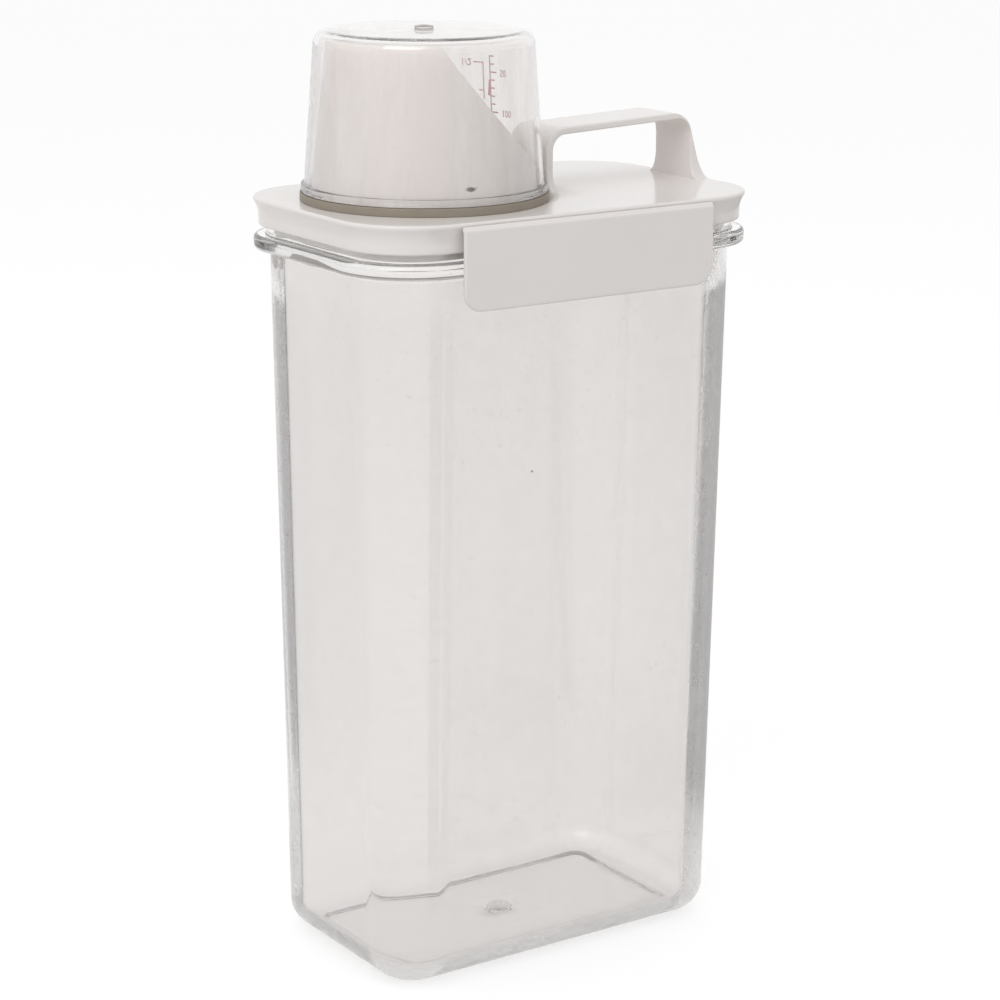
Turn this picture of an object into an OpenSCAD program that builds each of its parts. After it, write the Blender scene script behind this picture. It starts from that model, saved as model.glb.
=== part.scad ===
// Laundry detergent dispenser: a clear box with a clip-on lid, a pouring spout under a measuring cup,
// and a strap handle. Millimetres, +Z up, origin at the middle of the underside, cup towards -X.

/* [Container] */
// Length over the walls at the underside, before the bottom edge is rounded
base_l = 131; // [110:1:160]
// Width over the walls at the underside, before the bottom edge is rounded
base_w = 79; // [72:1:92]
// Corner radius of the walls at the underside
base_r = 15; // [13:0.5:22]
// Radius of the rounded edge between the walls and the underside
base_fillet = 10; // [5:0.5:11]
// Length over the walls just under the flange
mouth_l = 139.3; // [134:0.1:160]
// Width over the walls just under the flange
mouth_w = 86.8; // [84:0.1:100]
// Corner radius of the walls just under the flange
mouth_r = 20; // [16:0.5:26]
// Height of the flange's underside
body_h = 234.2; // [150:0.1:280]
// Thickness of the clear walls
wall = 2; // [1.4:0.1:2.6]
// Thickness of the clear floor over the foot ring
floor_t = 3; // [2.4:0.1:4]
// How far the flange stands out from the walls
flange_out = 5.2; // [4:0.1:8]
// Thickness of the flange
flange_t = 4.6; // [3:0.1:7]
// Rounding of the flange's outer edges
flange_edge_r = 1.4; // [0.4:0.1:1.4]
// How far the neck above the flange is set out from the walls
neck_out = 1; // [0.4:0.1:1.6]
// Height of the neck above the flange
neck_h = 7.7; // [6:0.1:8.5]
// Width of the flat ring that the container stands on
foot_w = 2.75; // [1.6:0.05:4]
// Depth of the shallow recess inside the foot ring
recess_d = 1; // [0.4:0.1:1.4]
// Diameter of the round gate mark in the middle of the floor
gate_d = 8; // [4:0.5:12]
// Height of the gate mark
gate_h = 0.6; // [0.4:0.1:2]

/* [Lid] */
// Height of the lid's skirt, from its lower edge to the flat top
skirt_h = 9.3; // [8.8:0.1:12]
// Gap that shows the neck, between the flange and the skirt
skirt_gap = 2.9; // [1:0.1:4]
// Thickness of the skirt
skirt_wall = 2.3; // [1.4:0.1:2.4]
// How far the skirt flares out under the lid's edge
flare = 1.6; // [1:0.1:3]
// Height of the hollow curve that the skirt flares along
flare_h = 5; // [3.2:0.1:5.4]
// Height of the lid's upright edge
lip_h = 1.2; // [1.2:0.1:2.4]
// Rounding of the lid's top edge
lip_r = 0.8; // [0.3:0.1:1.1]
// Thickness of the lid's flat top
plate_t = 2; // [1.4:0.1:2.4]
// Clearance between the neck and the skirt outside it
skirt_fit = 0.3; // [0.2:0.05:0.6]
// Clearance between the neck and the plug inside it
plug_fit = 0.4; // [0.25:0.05:0.8]
// Thickness of the plug's wall
plug_wall = 1.6; // [1.2:0.1:2.4]
// How far the plug reaches down below the lid's flat top
plug_h = 10; // [6:0.1:12]
// Clearance round the gasket in its channel
gasket_fit = 0.1; // [0.05:0.05:0.3]

/* [Clips] */
// Length of each clip along the lid
clip_l = 94.8; // [60:0.2:96]
// Thickness of a clip
clip_t = 1.5; // [1.2:0.1:2.2]
// How far a clip reaches down below the flange
clip_drop = 10.4; // [8:0.1:14]
// Radius of a clip's lower corners
clip_corner_r = 6.3; // [2:0.1:8]
// Height of the catch rib along the inside of a clip
rib_out = 0.5; // [0.3:0.05:1]
// Width of the catch rib
rib_w = 2.4; // [1.5:0.1:4]
// Clearance between the catch rib and the flange
rib_fit = 0.3; // [0.2:0.05:0.5]
// Radius of the round bead that a clip turns on
bead_r = 0.8; // [0.6:0.05:1]
// Clearance round the bead in its groove
bead_fit = 0.3; // [0.2:0.05:0.4]
// Depth of the bead's axis below the lid's flat top
bead_drop = 1.8; // [1.7:0.05:2.2]

/* [Spout] */
// Place of the spout's axis along the lid
spout_x = -29.5; // [-31:0.5:-28]
// Outer radius of the spout where it leaves the lid
spout_base_r = 36.2; // [32:0.1:36.4]
// Outer radius of the spout at its tip
spout_top_r = 30.6; // [26:0.1:32]
// Height of the spout's tip above the lid
spout_h = 50.7; // [40:0.1:60]
// Thickness of the spout's wall
spout_wall = 1.8; // [1.2:0.1:2.4]
// Radius of the scooped cut that makes the mouth
scoop_r = 146; // [120:1:200]
// How far before the axis the cut starts at the tip
scoop_start = 11.7; // [4:0.1:18]
// Slope of the cut at the tip, in degrees
scoop_angle = 57.5; // [54:0.5:62]

/* [Seal ring] */
// Thickness of the ring that the cup stands on
seal_t = 2.9; // [2:0.1:4]
// How far the ring shows round the cup's rim
seal_out = 0.4; // [0.1:0.1:0.8]
// Clearance between the ring and the spout inside it
seal_fit = 0.3; // [0.1:0.05:0.8]

/* [Measuring cup] */
// Thickness of the cup's wall
cup_wall = 1.5; // [1:0.1:1.8]
// Room between the spout and the cup at the cup's rim
cup_gap_rim = 0.7; // [0.5:0.05:1.2]
// Room between the spout and the cup at the spout's tip
cup_gap_tip = 2.65; // [1.5:0.05:3.5]
// Room over the spout's tip
cup_gap_top = 1; // [0.6:0.1:3]
// How far the rim stands out from the cup's wall
rim_out = 0.7; // [0.4:0.1:1.2]
// Height of the rim
rim_h = 2.4; // [1.5:0.1:4]
// Radius of the rounded edge round the cup's closed end
cup_edge_r = 4; // [2:0.1:6]
// Diameter of the gate mark on the cup's closed end
nub_d = 6; // [3:0.5:10]
// Height of the gate mark on the cup's closed end
nub_h = 1.2; // [0.5:0.1:2]

/* [Handle] */
// Height of the strap's top above the lid, over the leg by the cup
handle_h = 20.1; // [18:0.1:30]
// How far the strap climbs towards the end of the lid, in degrees
handle_climb = 2.2; // [0:0.1:4]
// Width of the strap
handle_w = 19.5; // [14:0.1:24]
// Width of the legs where they meet the lid
foot_spread = 27; // [25:0.5:32]
// Thickness of the strap
strap_t = 2.4; // [2:0.1:4]
// Thickness of the leg by the cup
leg_t = 2.8; // [2:0.1:4]
// Thickness of the end leg where it meets the lid
end_foot_t = 5.2; // [4:0.1:7]
// Lean of the end leg's outer face, in degrees
end_lean = 17; // [8:0.5:20]
// Outer radius of the strap's bends
bend_r = 8; // [5:0.5:10]
// Inner radius of the strap's bends
bend_in_r = 5; // [2:0.5:7]
// Room between the cup's rim and the nearer leg
leg_gap = 1.4; // [0.6:0.1:2]

/* [Hidden] */
$fn = 96;

// Overlap of solids that are one moulding, and the thin slices that the tapered walls are drawn through
weld = 0.5;
slice = 0.01;
arc_steps = 6;
hull_fn = 32;

// Heights
flange_top = body_h + flange_t;
neck_top = flange_top + neck_h;
skirt_bottom = flange_top + skirt_gap;
lid_top = skirt_bottom + skirt_h;
plate_under = lid_top - plate_t;
seal_top = lid_top + seal_t;
spout_tip = lid_top + spout_h;
cup_top = spout_tip + cup_gap_top + cup_wall;

// Outlines: the flange, the neck and the lid all follow the mouth's outline at named distances
skirt_in = neck_out + skirt_fit;
skirt_out = skirt_in + skirt_wall;
lid_out = skirt_out + flare;
neck_in = neck_out - wall;
plug_out = neck_in - plug_fit;
lid_l = mouth_l + 2 * lid_out;

// Clips
clip_in_y = mouth_w / 2 + max(flange_out + rib_fit + rib_out, lid_out + rib_out);
clip_axis_z = lid_top - bead_drop;
clip_bottom = body_h - clip_drop;

// Cup and handle places along the lid
cup_rim_r = spout_base_r + cup_gap_rim + cup_wall + rim_out;
leg_x = spout_x + cup_rim_r + leg_gap;
end_x = lid_l / 2;

function arc(x, y, r, from, to) =
    [for (i = [0 : arc_steps])
        let (a = from + (to - from) * i / arc_steps)
        [x + r * cos(a), y + r * sin(a)]];

function body_l(z) = base_l + (mouth_l - base_l) * z / body_h;
function body_w(z) = base_w + (mouth_w - base_w) * z / body_h;
function body_r(z) = base_r + (mouth_r - base_r) * z / body_h;
function spout_r(z) = spout_base_r + (spout_top_r - spout_base_r) * (z - lid_top) / spout_h;
function cup_in_r(z) =
    let (share = (z - lid_top) / spout_h)
    spout_r(z) + cup_gap_rim + (cup_gap_tip - cup_gap_rim) * share;

// A rectangle with round corners
module round_rect(l, w, r) {
    square([l - 2 * r, w], center = true);
    square([l, w - 2 * r], center = true);
    for (x = [-1, 1], y = [-1, 1])
        translate([x * (l / 2 - r), y * (w / 2 - r)])
            circle(r);
}

// The walls' outline at a height, drawn in by a distance
module body_slice(z, inset) {
    translate([0, 0, z])
        linear_extrude(slice)
            round_rect(body_l(z) - 2 * inset, body_w(z) - 2 * inset, body_r(z) - inset, $fn = hull_fn);
}

// The tapered walls with a rounded bottom edge, from one height to another
module body_shape(bottom, top, inset, fillet) {
    hull() {
        for (i = [1 : arc_steps]) {
            a = 90 * i / arc_steps;
            body_slice(bottom + fillet * (1 - cos(a)), inset + fillet * (1 - sin(a)));
        }
        body_slice(bottom, inset + fillet);
        body_slice(top - slice, inset);
    }
}

// Carries a section, drawn as distance outwards and height, once round the mouth's outline
module round_mouth() {
    straight_l = mouth_l - 2 * mouth_r;
    straight_w = mouth_w - 2 * mouth_r;
    for (x = [0, 1], y = [0, 1])
        mirror([x, 0, 0])
            mirror([0, y, 0])
                translate([straight_l / 2, straight_w / 2, 0])
                    rotate_extrude(angle = 90)
                        translate([mouth_r, 0])
                            children();
    for (y = [0, 1])
        mirror([0, y, 0])
            translate([-straight_l / 2, mouth_w / 2, 0])
                rotate([90, 0, 90])
                    linear_extrude(straight_l)
                        children();
    for (x = [0, 1])
        mirror([x, 0, 0])
            translate([mouth_l / 2, straight_w / 2, 0])
                rotate([90, 0, 0])
                    linear_extrude(straight_w)
                        children();
}

// A slab that follows the mouth's outline at a distance
module mouth_slab(out, z, t) {
    translate([0, 0, z])
        linear_extrude(t)
            round_rect(mouth_l + 2 * out, mouth_w + 2 * out, mouth_r + out);
}

module flange_section() {
    polygon(concat(
        [[-wall, body_h]],
        arc(flange_out - flange_edge_r, body_h + flange_edge_r, flange_edge_r, -90, 0),
        arc(flange_out - flange_edge_r, flange_top - flange_edge_r, flange_edge_r, 0, 90),
        [[-wall, flange_top]]));
}

module neck_section() {
    rim_r = wall / 4;
    polygon(concat(
        [[neck_in, body_h + flange_t / 2], [neck_out, body_h + flange_t / 2]],
        arc(neck_out - rim_r, neck_top - rim_r, rim_r, 0, 90),
        arc(neck_in + rim_r, neck_top - rim_r, rim_r, 90, 180)));
}

module container() {
    foot_l = base_l - 2 * base_fillet;
    foot_b = base_w - 2 * base_fillet;
    foot_r = base_r - base_fillet;
    color([0.86, 0.90, 0.91, 0.45]) {
        difference() {
            union() {
                body_shape(slice, body_h + weld, 0, base_fillet);
                linear_extrude(floor_t / 2)
                    round_rect(foot_l, foot_b, foot_r);
                round_mouth() flange_section();
            }
            body_shape(floor_t, body_h + flange_t / 2, wall, base_fillet - wall);
            mouth_slab(neck_in, body_h + flange_t / 2, neck_h + flange_t);
            translate([0, 0, -slice])
                linear_extrude(recess_d + slice)
                    round_rect(foot_l - 2 * foot_w, foot_b - 2 * foot_w, foot_r - foot_w / 2);
        }
        round_mouth() neck_section();
        translate([0, 0, floor_t - weld])
            cylinder(d = gate_d, h = gate_h + weld);
    }
}

// The lid's edge, flare and skirt, from the flat top round to its underside
module skirt_section() {
    edge_r = skirt_wall / 3;
    flare_z = lid_top - lip_h - flare_h;
    flare_r = (flare_h * flare_h + flare * flare) / (2 * flare);
    flare_turn = asin(flare_h / flare_r);
    polygon(concat(
        [[plug_out - plug_wall - weld, plate_under], [plug_out - plug_wall - weld, lid_top]],
        arc(lid_out - lip_r, lid_top - lip_r, lip_r, 90, 0),
        arc(skirt_out + flare_r, flare_z, flare_r, 180 - flare_turn, 180),
        arc(skirt_out - edge_r, skirt_bottom + edge_r, edge_r, 0, -90),
        [[skirt_in, skirt_bottom], [skirt_in, plate_under]]));
}

module plug_section() {
    edge_r = plug_wall / 3;
    plug_bottom = plate_under - plug_h;
    polygon(concat(
        [[plug_out - plug_wall, plate_under + weld], [plug_out - plug_wall, plug_bottom]],
        arc(plug_out - edge_r, plug_bottom + edge_r, edge_r, -90, 0),
        [[plug_out, plate_under + weld]]));
}

// The spout's outside, or its bore when drawn in by the wall
module spout_cone(inset, bottom, top) {
    translate([spout_x, 0, bottom])
        cylinder(r1 = spout_r(bottom) - inset, r2 = spout_r(top) - inset, h = top - bottom);
}

// The round cut that slants the spout's mouth down towards the handle
module spout_scoop() {
    start_x = spout_x - scoop_start;
    translate([start_x + scoop_r * sin(scoop_angle), 0, spout_tip + scoop_r * cos(scoop_angle)])
        rotate([90, 0, 0])
            cylinder(r = scoop_r, h = 3 * spout_base_r, center = true, $fn = 4 * $fn);
}

// The strap's side view: the outside of the handle less the finger gap
module handle_side() {
    foot_z = lid_top - plate_t / 2;
    left_top = lid_top + handle_h;
    climb = tan(handle_climb);
    lean = tan(end_lean);
    right_top_x = (end_x - lean * (left_top - climb * leg_x - lid_top)) / (1 + lean * climb);
    right_top = left_top + climb * (right_top_x - leg_x);
    left_bend = bend_r * tan((90 - handle_climb) / 2);
    right_turn = 90 + handle_climb - end_lean;
    right_bend = bend_r * tan(right_turn / 2);
    bend_x = right_top_x - right_bend * cos(handle_climb) + bend_r * sin(handle_climb);
    bend_z = right_top - right_bend * sin(handle_climb) - bend_r * cos(handle_climb);
    left_z = left_top + climb * left_bend - bend_r / cos(handle_climb) + climb * (bend_r - left_bend);
    gap_l = leg_x + leg_t;
    gap_r = end_x - end_foot_t;
    gap_left_z = left_top + climb * leg_t - strap_t;
    gap_right_z = left_top + climb * (gap_r - leg_x) - strap_t;
    difference() {
        polygon(concat(
            [[end_x, foot_z], [end_x, lid_top]],
            arc(bend_x, bend_z, bend_r, 90 + handle_climb - right_turn, 90 + handle_climb),
            arc(leg_x + bend_r, left_z, bend_r, 90 + handle_climb, 180),
            [[leg_x, foot_z]]));
        polygon(concat(
            [[gap_r, lid_top - plate_t]],
            arc(gap_r - bend_in_r, gap_right_z - bend_in_r, bend_in_r, 0, 90),
            arc(gap_l + bend_in_r, gap_left_z + climb * bend_in_r - bend_in_r, bend_in_r, 90, 180),
            [[gap_l, lid_top - plate_t]]));
    }
}

// The strap's end view: a straight strap whose legs spread at the lid
module handle_end() {
    spread = (foot_spread - handle_w) / 2;
    foot_z = lid_top - plate_t / 2;
    spread_z = lid_top + 2 * spread;
    difference() {
        translate([-foot_spread / 2, foot_z])
            square([foot_spread, 2 * handle_h]);
        for (s = [0, 1])
            mirror([s, 0])
                polygon(concat(
                    [[foot_spread / 2, lid_top]],
                    [for (i = [1 : arc_steps])
                        let (a = 90 * i / arc_steps)
                        [handle_w / 2 + spread * (1 - sin(a)), spread_z - 2 * spread * cos(a)]],
                    [[handle_w / 2, lid_top + 2 * handle_h], [foot_spread, lid_top + 2 * handle_h]]));
    }
}

module handle() {
    intersection() {
        rotate([90, 0, 0])
            linear_extrude(foot_spread, center = true)
                handle_side();
        rotate([90, 0, 90])
            linear_extrude(lid_l)
                handle_end();
    }
}

// The groove along the lid's edge that a clip's bead turns in
module bead_groove(side) {
    translate([0, side * clip_in_y, clip_axis_z])
        rotate([0, 90, 0])
            cylinder(r = bead_r + bead_fit, h = clip_l + 2 * bead_fit, center = true);
}

module lid() {
    color([0.96, 0.95, 0.94]) {
        difference() {
            union() {
                round_mouth() skirt_section();
                mouth_slab(plug_out - plug_wall, plate_under, plate_t);
                round_mouth() plug_section();
                difference() {
                    spout_cone(0, plate_under, spout_tip);
                    spout_scoop();
                }
            }
            spout_cone(spout_wall, plate_under - weld, spout_tip + weld);
            bead_groove(-1);
            bead_groove(1);
        }
        handle();
    }
}

module lid_gasket() {
    color([0.90, 0.90, 0.88])
        round_mouth()
            translate([plug_out + gasket_fit, neck_top + gasket_fit])
                square([skirt_in - plug_out - 2 * gasket_fit, plate_under - neck_top - gasket_fit]);
}

// A clip's section across the lid, drawn as distance outwards from its inner face and height
module clip_section() {
    rib_top = body_h - rib_fit;
    rib_bottom = rib_top - rib_w;
    polygon(concat(
        [[0, clip_bottom], [clip_t, clip_bottom]],
        arc(clip_t / 2, clip_axis_z - clip_t / 2, clip_t / 2, 0, 90),
        [[0, clip_axis_z], [0, rib_top], [-rib_out, rib_top], [-rib_out, rib_bottom],
            [0, rib_bottom - rib_out]]));
}

// A clip's front view, with its lower corners rounded
module clip_front() {
    for (s = [-1, 1])
        translate([s * (clip_l / 2 - clip_corner_r), clip_bottom + clip_corner_r])
            circle(clip_corner_r);
    translate([-clip_l / 2, clip_bottom + clip_corner_r])
        square([clip_l, lid_top - clip_bottom]);
    translate([-clip_l / 2 + clip_corner_r, clip_bottom])
        square([clip_l - 2 * clip_corner_r, 2 * clip_corner_r]);
}

// A clip on the side of the lid towards +Y
module clip() {
    depth = clip_t + 2 * rib_out;
    color([0.94, 0.93, 0.92]) {
        intersection() {
            translate([-clip_l / 2, clip_in_y, 0])
                rotate([90, 0, 90])
                    linear_extrude(clip_l)
                        clip_section();
            translate([0, clip_in_y + depth, 0])
                rotate([90, 0, 0])
                    linear_extrude(2 * depth)
                        clip_front();
        }
        translate([0, clip_in_y, clip_axis_z])
            rotate([0, 90, 0])
                cylinder(r = bead_r, h = clip_l, center = true);
    }
}

module front_clip() {
    mirror([0, 1, 0])
        clip();
}

module back_clip() {
    clip();
}

module spout_seal() {
    color([0.60, 0.57, 0.52])
        translate([spout_x, 0, 0])
            rotate_extrude()
                polygon(concat(
                    [[spout_base_r + seal_fit, lid_top], [cup_rim_r + seal_out, lid_top]],
                    arc(cup_rim_r + seal_out - seal_t / 4, seal_top - seal_t / 4, seal_t / 4, 0, 90),
                    [[spout_base_r + seal_fit, seal_top]]));
}

module measuring_cup() {
    rim_top = seal_top + rim_h;
    end_in = cup_top - cup_wall;
    rim_edge = rim_out / 3;
    edge_in_r = cup_edge_r - cup_wall;
    edge_z = cup_top - cup_edge_r;
    edge_x = cup_in_r(edge_z) + cup_wall - cup_edge_r;
    color([0.90, 0.93, 0.93, 0.45])
        translate([spout_x, 0, 0]) {
            rotate_extrude()
                polygon(concat(
                    [[cup_in_r(seal_top), seal_top]],
                    arc(cup_rim_r - rim_edge, seal_top + rim_edge, rim_edge, -90, 0),
                    arc(cup_rim_r - rim_edge, rim_top - rim_edge, rim_edge, 0, 90),
                    [[cup_in_r(rim_top) + cup_wall, rim_top]],
                    arc(edge_x, edge_z, cup_edge_r, 0, 90),
                    [[0, cup_top], [0, end_in]],
                    arc(edge_x, edge_z, edge_in_r, 90, 0)));
            translate([0, 0, cup_top - weld])
                cylinder(d = nub_d, h = nub_h + weld);
        }
}

container();
lid();
lid_gasket();
front_clip();
back_clip();
spout_seal();
measuring_cup();
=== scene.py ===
"""Laundry detergent dispenser: the looks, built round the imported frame.

Shapes are worked out in millimetres, +Z up, with the origin under the middle of the foot, and go into
the meshes in metres.
"""

import math

import bpy
import numpy as np
from mathutils import Matrix, Vector


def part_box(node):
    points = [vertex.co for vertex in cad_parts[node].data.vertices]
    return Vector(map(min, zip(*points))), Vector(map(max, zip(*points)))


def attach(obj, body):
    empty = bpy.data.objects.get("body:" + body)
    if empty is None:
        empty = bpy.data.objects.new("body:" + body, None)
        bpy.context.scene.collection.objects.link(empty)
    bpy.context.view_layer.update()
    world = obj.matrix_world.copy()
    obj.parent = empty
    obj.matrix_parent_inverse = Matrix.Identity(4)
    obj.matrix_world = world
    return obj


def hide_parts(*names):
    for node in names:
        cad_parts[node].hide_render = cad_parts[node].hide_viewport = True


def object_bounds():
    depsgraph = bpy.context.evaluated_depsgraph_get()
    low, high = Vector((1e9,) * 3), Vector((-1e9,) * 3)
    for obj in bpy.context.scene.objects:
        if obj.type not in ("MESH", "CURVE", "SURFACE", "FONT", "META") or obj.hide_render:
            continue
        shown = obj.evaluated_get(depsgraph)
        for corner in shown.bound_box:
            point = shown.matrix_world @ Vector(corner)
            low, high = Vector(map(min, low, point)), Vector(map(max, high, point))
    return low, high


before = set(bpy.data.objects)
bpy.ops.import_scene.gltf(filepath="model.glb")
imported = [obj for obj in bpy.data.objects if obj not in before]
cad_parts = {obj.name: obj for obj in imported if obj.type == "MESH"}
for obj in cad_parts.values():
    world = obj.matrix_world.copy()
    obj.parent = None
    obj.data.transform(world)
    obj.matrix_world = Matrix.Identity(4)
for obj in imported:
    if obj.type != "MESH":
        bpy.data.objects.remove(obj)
cad_low, cad_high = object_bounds()

MM = 0.001


def box_mm(node):
    """Lowest and highest corner of a CAD node, in millimetres."""
    return [np.array(corner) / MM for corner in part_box(node)]


# Heights and reaches read from the frame
CONTAINER_HIGH = box_mm("container")[1]
LID_HIGH = box_mm("lid")[1]
SEAL_LOW, SEAL_HIGH = box_mm("spout_seal")
CUP_LOW, CUP_HIGH = box_mm("measuring_cup")
CLIP_LOW, CLIP_HIGH = box_mm("back_clip")
NECK_TOP = CONTAINER_HIGH[2]
LID_TOP = SEAL_LOW[2]
SEAL_TOP = SEAL_HIGH[2]
SPOUT_TIP = LID_HIGH[2]
CLIP_BOTTOM = CLIP_LOW[2]
CLIP_L = CLIP_HIGH[0] - CLIP_LOW[0]
CUP_RIM_R = (CUP_HIGH[0] - CUP_LOW[0]) / 2
SPOUT_X = (CUP_HIGH[0] + CUP_LOW[0]) / 2

# Container: wall, floor, flange, neck, outline at the mouth and at the base, foot ring and recess, gate mark
WALL = 2.0
FLOOR_T = 3.0
FLANGE_OUT = 5.2
FLANGE_T = 4.6
FLANGE_EDGE = 1.4
NECK_OUT = 1.0
NECK_H = 7.7
FLANGE_TOP = NECK_TOP - NECK_H
BODY_H = FLANGE_TOP - FLANGE_T
MOUTH_L = 2 * (CONTAINER_HIGH[0] - FLANGE_OUT)
MOUTH_W = 2 * (CONTAINER_HIGH[1] - FLANGE_OUT)
MOUTH_R = 20.0
BASE_L = 131.0
BASE_W = 79.0
BASE_R = 15.0
BASE_FILLET = 10.0
FOOT_W = 2.75
RECESS_D = 1.0
RECESS_NICK = 0.12
# The inside corners are this much rounder than the outside's, so that the plastic is thick there
CORNER_FILL = 4.5
GATE_R = 4.0
GATE_H = 0.6

# Lid: lip, flared skirt, plate and plug, as distances out from the mouth's outline
LID_OUT = LID_HIGH[0] - MOUTH_L / 2
LIP_H = 1.2
LIP_R = 0.8
FLARE = 1.6
FLARE_H = 5.0
SKIRT_WALL = 2.3
SKIRT_OUT = LID_OUT - FLARE
SKIRT_IN = SKIRT_OUT - SKIRT_WALL
SKIRT_H = 9.3
SKIRT_BOTTOM = LID_TOP - SKIRT_H
PLATE_T = 2.0
PLATE_UNDER = LID_TOP - PLATE_T
PLUG_OUT = -1.4
PLUG_IN = -3.0
PLUG_H = 10.0
PLUG_BOTTOM = PLATE_UNDER - PLUG_H
PLATE_EDGE = -4.2

# Clips: plate, bead that turns in the lid's groove, and catch rib
CLIP_T = 1.5
CLIP_CORNER = 6.3
CLIP_BEAD_R = 0.8
CLIP_DROP = 1.8
CLIP_AXIS_Z = LID_TOP - CLIP_DROP
CLIP_IN_Y = CLIP_HIGH[1] - CLIP_T
GROOVE_R = 1.1
RIB_OUT = 0.5

# Spout, its scoop, and the cup over it
SPOUT_H = SPOUT_TIP - LID_TOP
SPOUT_BASE_R = 36.2
SPOUT_TOP_R = 30.6
SPOUT_WALL = 1.8
SCOOP_R = 146.0
SCOOP_START = 11.7
SCOOP_ANGLE = math.radians(57.5)
CUP_WALL = 1.5
CUP_GAP_RIM = 0.7
CUP_GAP_TIP = 2.65
CUP_EDGE = 4.0
CUP_RIM_H = 2.4
RIM_GROOVE_D = 0.22
NUB_R = 3.0
NUB_H = 1.2
CUP_TOP = CUP_HIGH[2] - NUB_H

# Strap handle: its leg by the cup, its top that climbs a little, and its leaning end leg
HANDLE_H = 20.1
HANDLE_CLIMB = math.tan(math.radians(2.2))
HANDLE_W = 19.5
FOOT_SPREAD = 27.0
STRAP_T = 2.4
LEG_T = 2.8
END_FOOT_T = 5.2
END_LEAN = math.radians(17.0)
BEND_R = 8.0
BEND_IN_R = 5.0
LEG_GAP = 1.4
LEG_X = SPOUT_X + CUP_RIM_R + LEG_GAP
END_X = LID_HIGH[0]


def srgb(code):
    """Linear colour of an sRGB hex code: each share c becomes c / 12.92 up to 0.04045, else
    ((c + 0.055) / 1.055) to the power 2.4."""
    shares = np.array([int(code[i:i + 2], 16) for i in (1, 3, 5)]) / 255
    low = shares / 12.92
    high = ((shares + 0.055) / 1.055) ** 2.4
    return (*np.where(shares <= 0.04045, low, high).tolist(), 1.0)


def add(tree, kind, inputs=None, **settings):
    """Adds one node with its settings; an input is given a value, or a socket to link from."""
    made = tree.nodes.new("ShaderNode" + kind)
    for name, value in settings.items():
        setattr(made, name, value)
    for key, value in (inputs or {}).items():
        if isinstance(value, bpy.types.NodeSocket):
            tree.links.new(value, made.inputs[key])
        else:
            made.inputs[key].default_value = value
    return made


# Materials


STYRENE_IOR = 1.57


def new_material(name):
    """An empty node material with its output, and the piece's own coordinates in metres."""
    material = bpy.data.materials.new(name)
    material.use_nodes = True
    tree = material.node_tree
    tree.nodes.clear()
    output = add(tree, "OutputMaterial")
    place = add(tree, "TexCoord").outputs["Object"]
    return material, tree, output, place


def per_m(size_mm):
    """Texture scale of a pattern that repeats about every size_mm, on coordinates in metres."""
    return 1000.0 / size_mm


def clear_styrene(name, clarity, haze_low, haze_high, dust, blur=(0.012, 0.022), streaks=0.0, mark=None,
                  shade="#F8F8F8"):
    """Injection-moulded clear polystyrene, handled and a little dusty: bright edges where it is thick, a
    faint grey body that the mould left uneven, and a film of fine specks that catches the light. Where it
    has been pulled on and off, upright streaks are rubbed into it. A mark is a place, a radius and a
    colour: the plastic is stained that colour there. Its shadow lets a shade of the light through."""
    material, tree, output, place = new_material(name)
    film = add(tree, "TexNoise", {"Vector": place, "Scale": per_m(14), "Detail": 2.0, "Roughness": 0.62})
    specks = add(tree, "TexNoise", {"Vector": place, "Scale": per_m(2.2), "Detail": 1.0, "Roughness": 0.7})
    fine = add(tree, "MapRange", {0: specks.outputs["Fac"], 1: 0.60, 2: 0.74, 3: 0.0, 4: dust})
    spots = add(tree, "MapRange", {0: specks.outputs["Fac"], 1: 0.74, 2: 0.79, 3: 0.0, 4: 7 * dust})
    speck_mask = add(tree, "Math", {0: fine.outputs[0], 1: spots.outputs[0]}, operation="ADD")
    haze = add(tree, "MapRange", {0: film.outputs["Fac"], 1: 0.32, 2: 0.70, 3: haze_low, 4: haze_high})
    cover = add(tree, "Math", {0: haze.outputs[0], 1: speck_mask.outputs[0]}, operation="ADD")
    if streaks:
        drawn = add(tree, "Mapping", {"Vector": place, "Scale": (1.0, 1.0, 0.07)})
        lines = add(tree, "TexNoise", {"Vector": drawn.outputs[0], "Scale": per_m(9), "Detail": 3.0})
        rubbed = add(tree, "MapRange", {0: lines.outputs["Fac"], 1: 0.46, 2: 0.70, 3: 0.0, 4: streaks})
        cover = add(tree, "Math", {0: cover.outputs[0], 1: rubbed.outputs[0]}, operation="ADD")
    passing = add(tree, "Math", {0: 1.0, 1: cover.outputs[0]}, operation="SUBTRACT", use_clamp=True)
    rough = add(tree, "MapRange", {0: film.outputs["Fac"], 1: 0.3, 2: 0.7, 3: blur[0], 4: blur[1]})
    shader = add(tree, "BsdfPrincipled", {
        "Base Color": srgb(clarity), "IOR": STYRENE_IOR, "Roughness": rough.outputs[0],
        "Transmission Weight": passing.outputs[0]})
    if mark:
        spot, reach, colour = mark
        off = add(tree, "VectorMath", {0: place, 1: spot}, operation="DISTANCE").outputs["Value"]
        stain = add(tree, "MapRange", {0: off, 1: reach, 2: 0.8 * reach, 3: 0.0, 4: 1.0})
        tint = add(tree, "Mix", {0: stain.outputs[0], 6: srgb(clarity), 7: srgb(colour)}, data_type="RGBA")
        tree.links.new(tint.outputs[2], shader.inputs["Base Color"])
    open_way = add(tree, "BsdfTransparent", {"Color": srgb(shade)})
    path = add(tree, "LightPath")
    lit = add(tree, "MixShader", {
        0: path.outputs["Is Shadow Ray"], 1: shader.outputs[0], 2: open_way.outputs[0]})
    tree.links.new(lit.outputs[0], output.inputs["Surface"])
    return material


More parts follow.
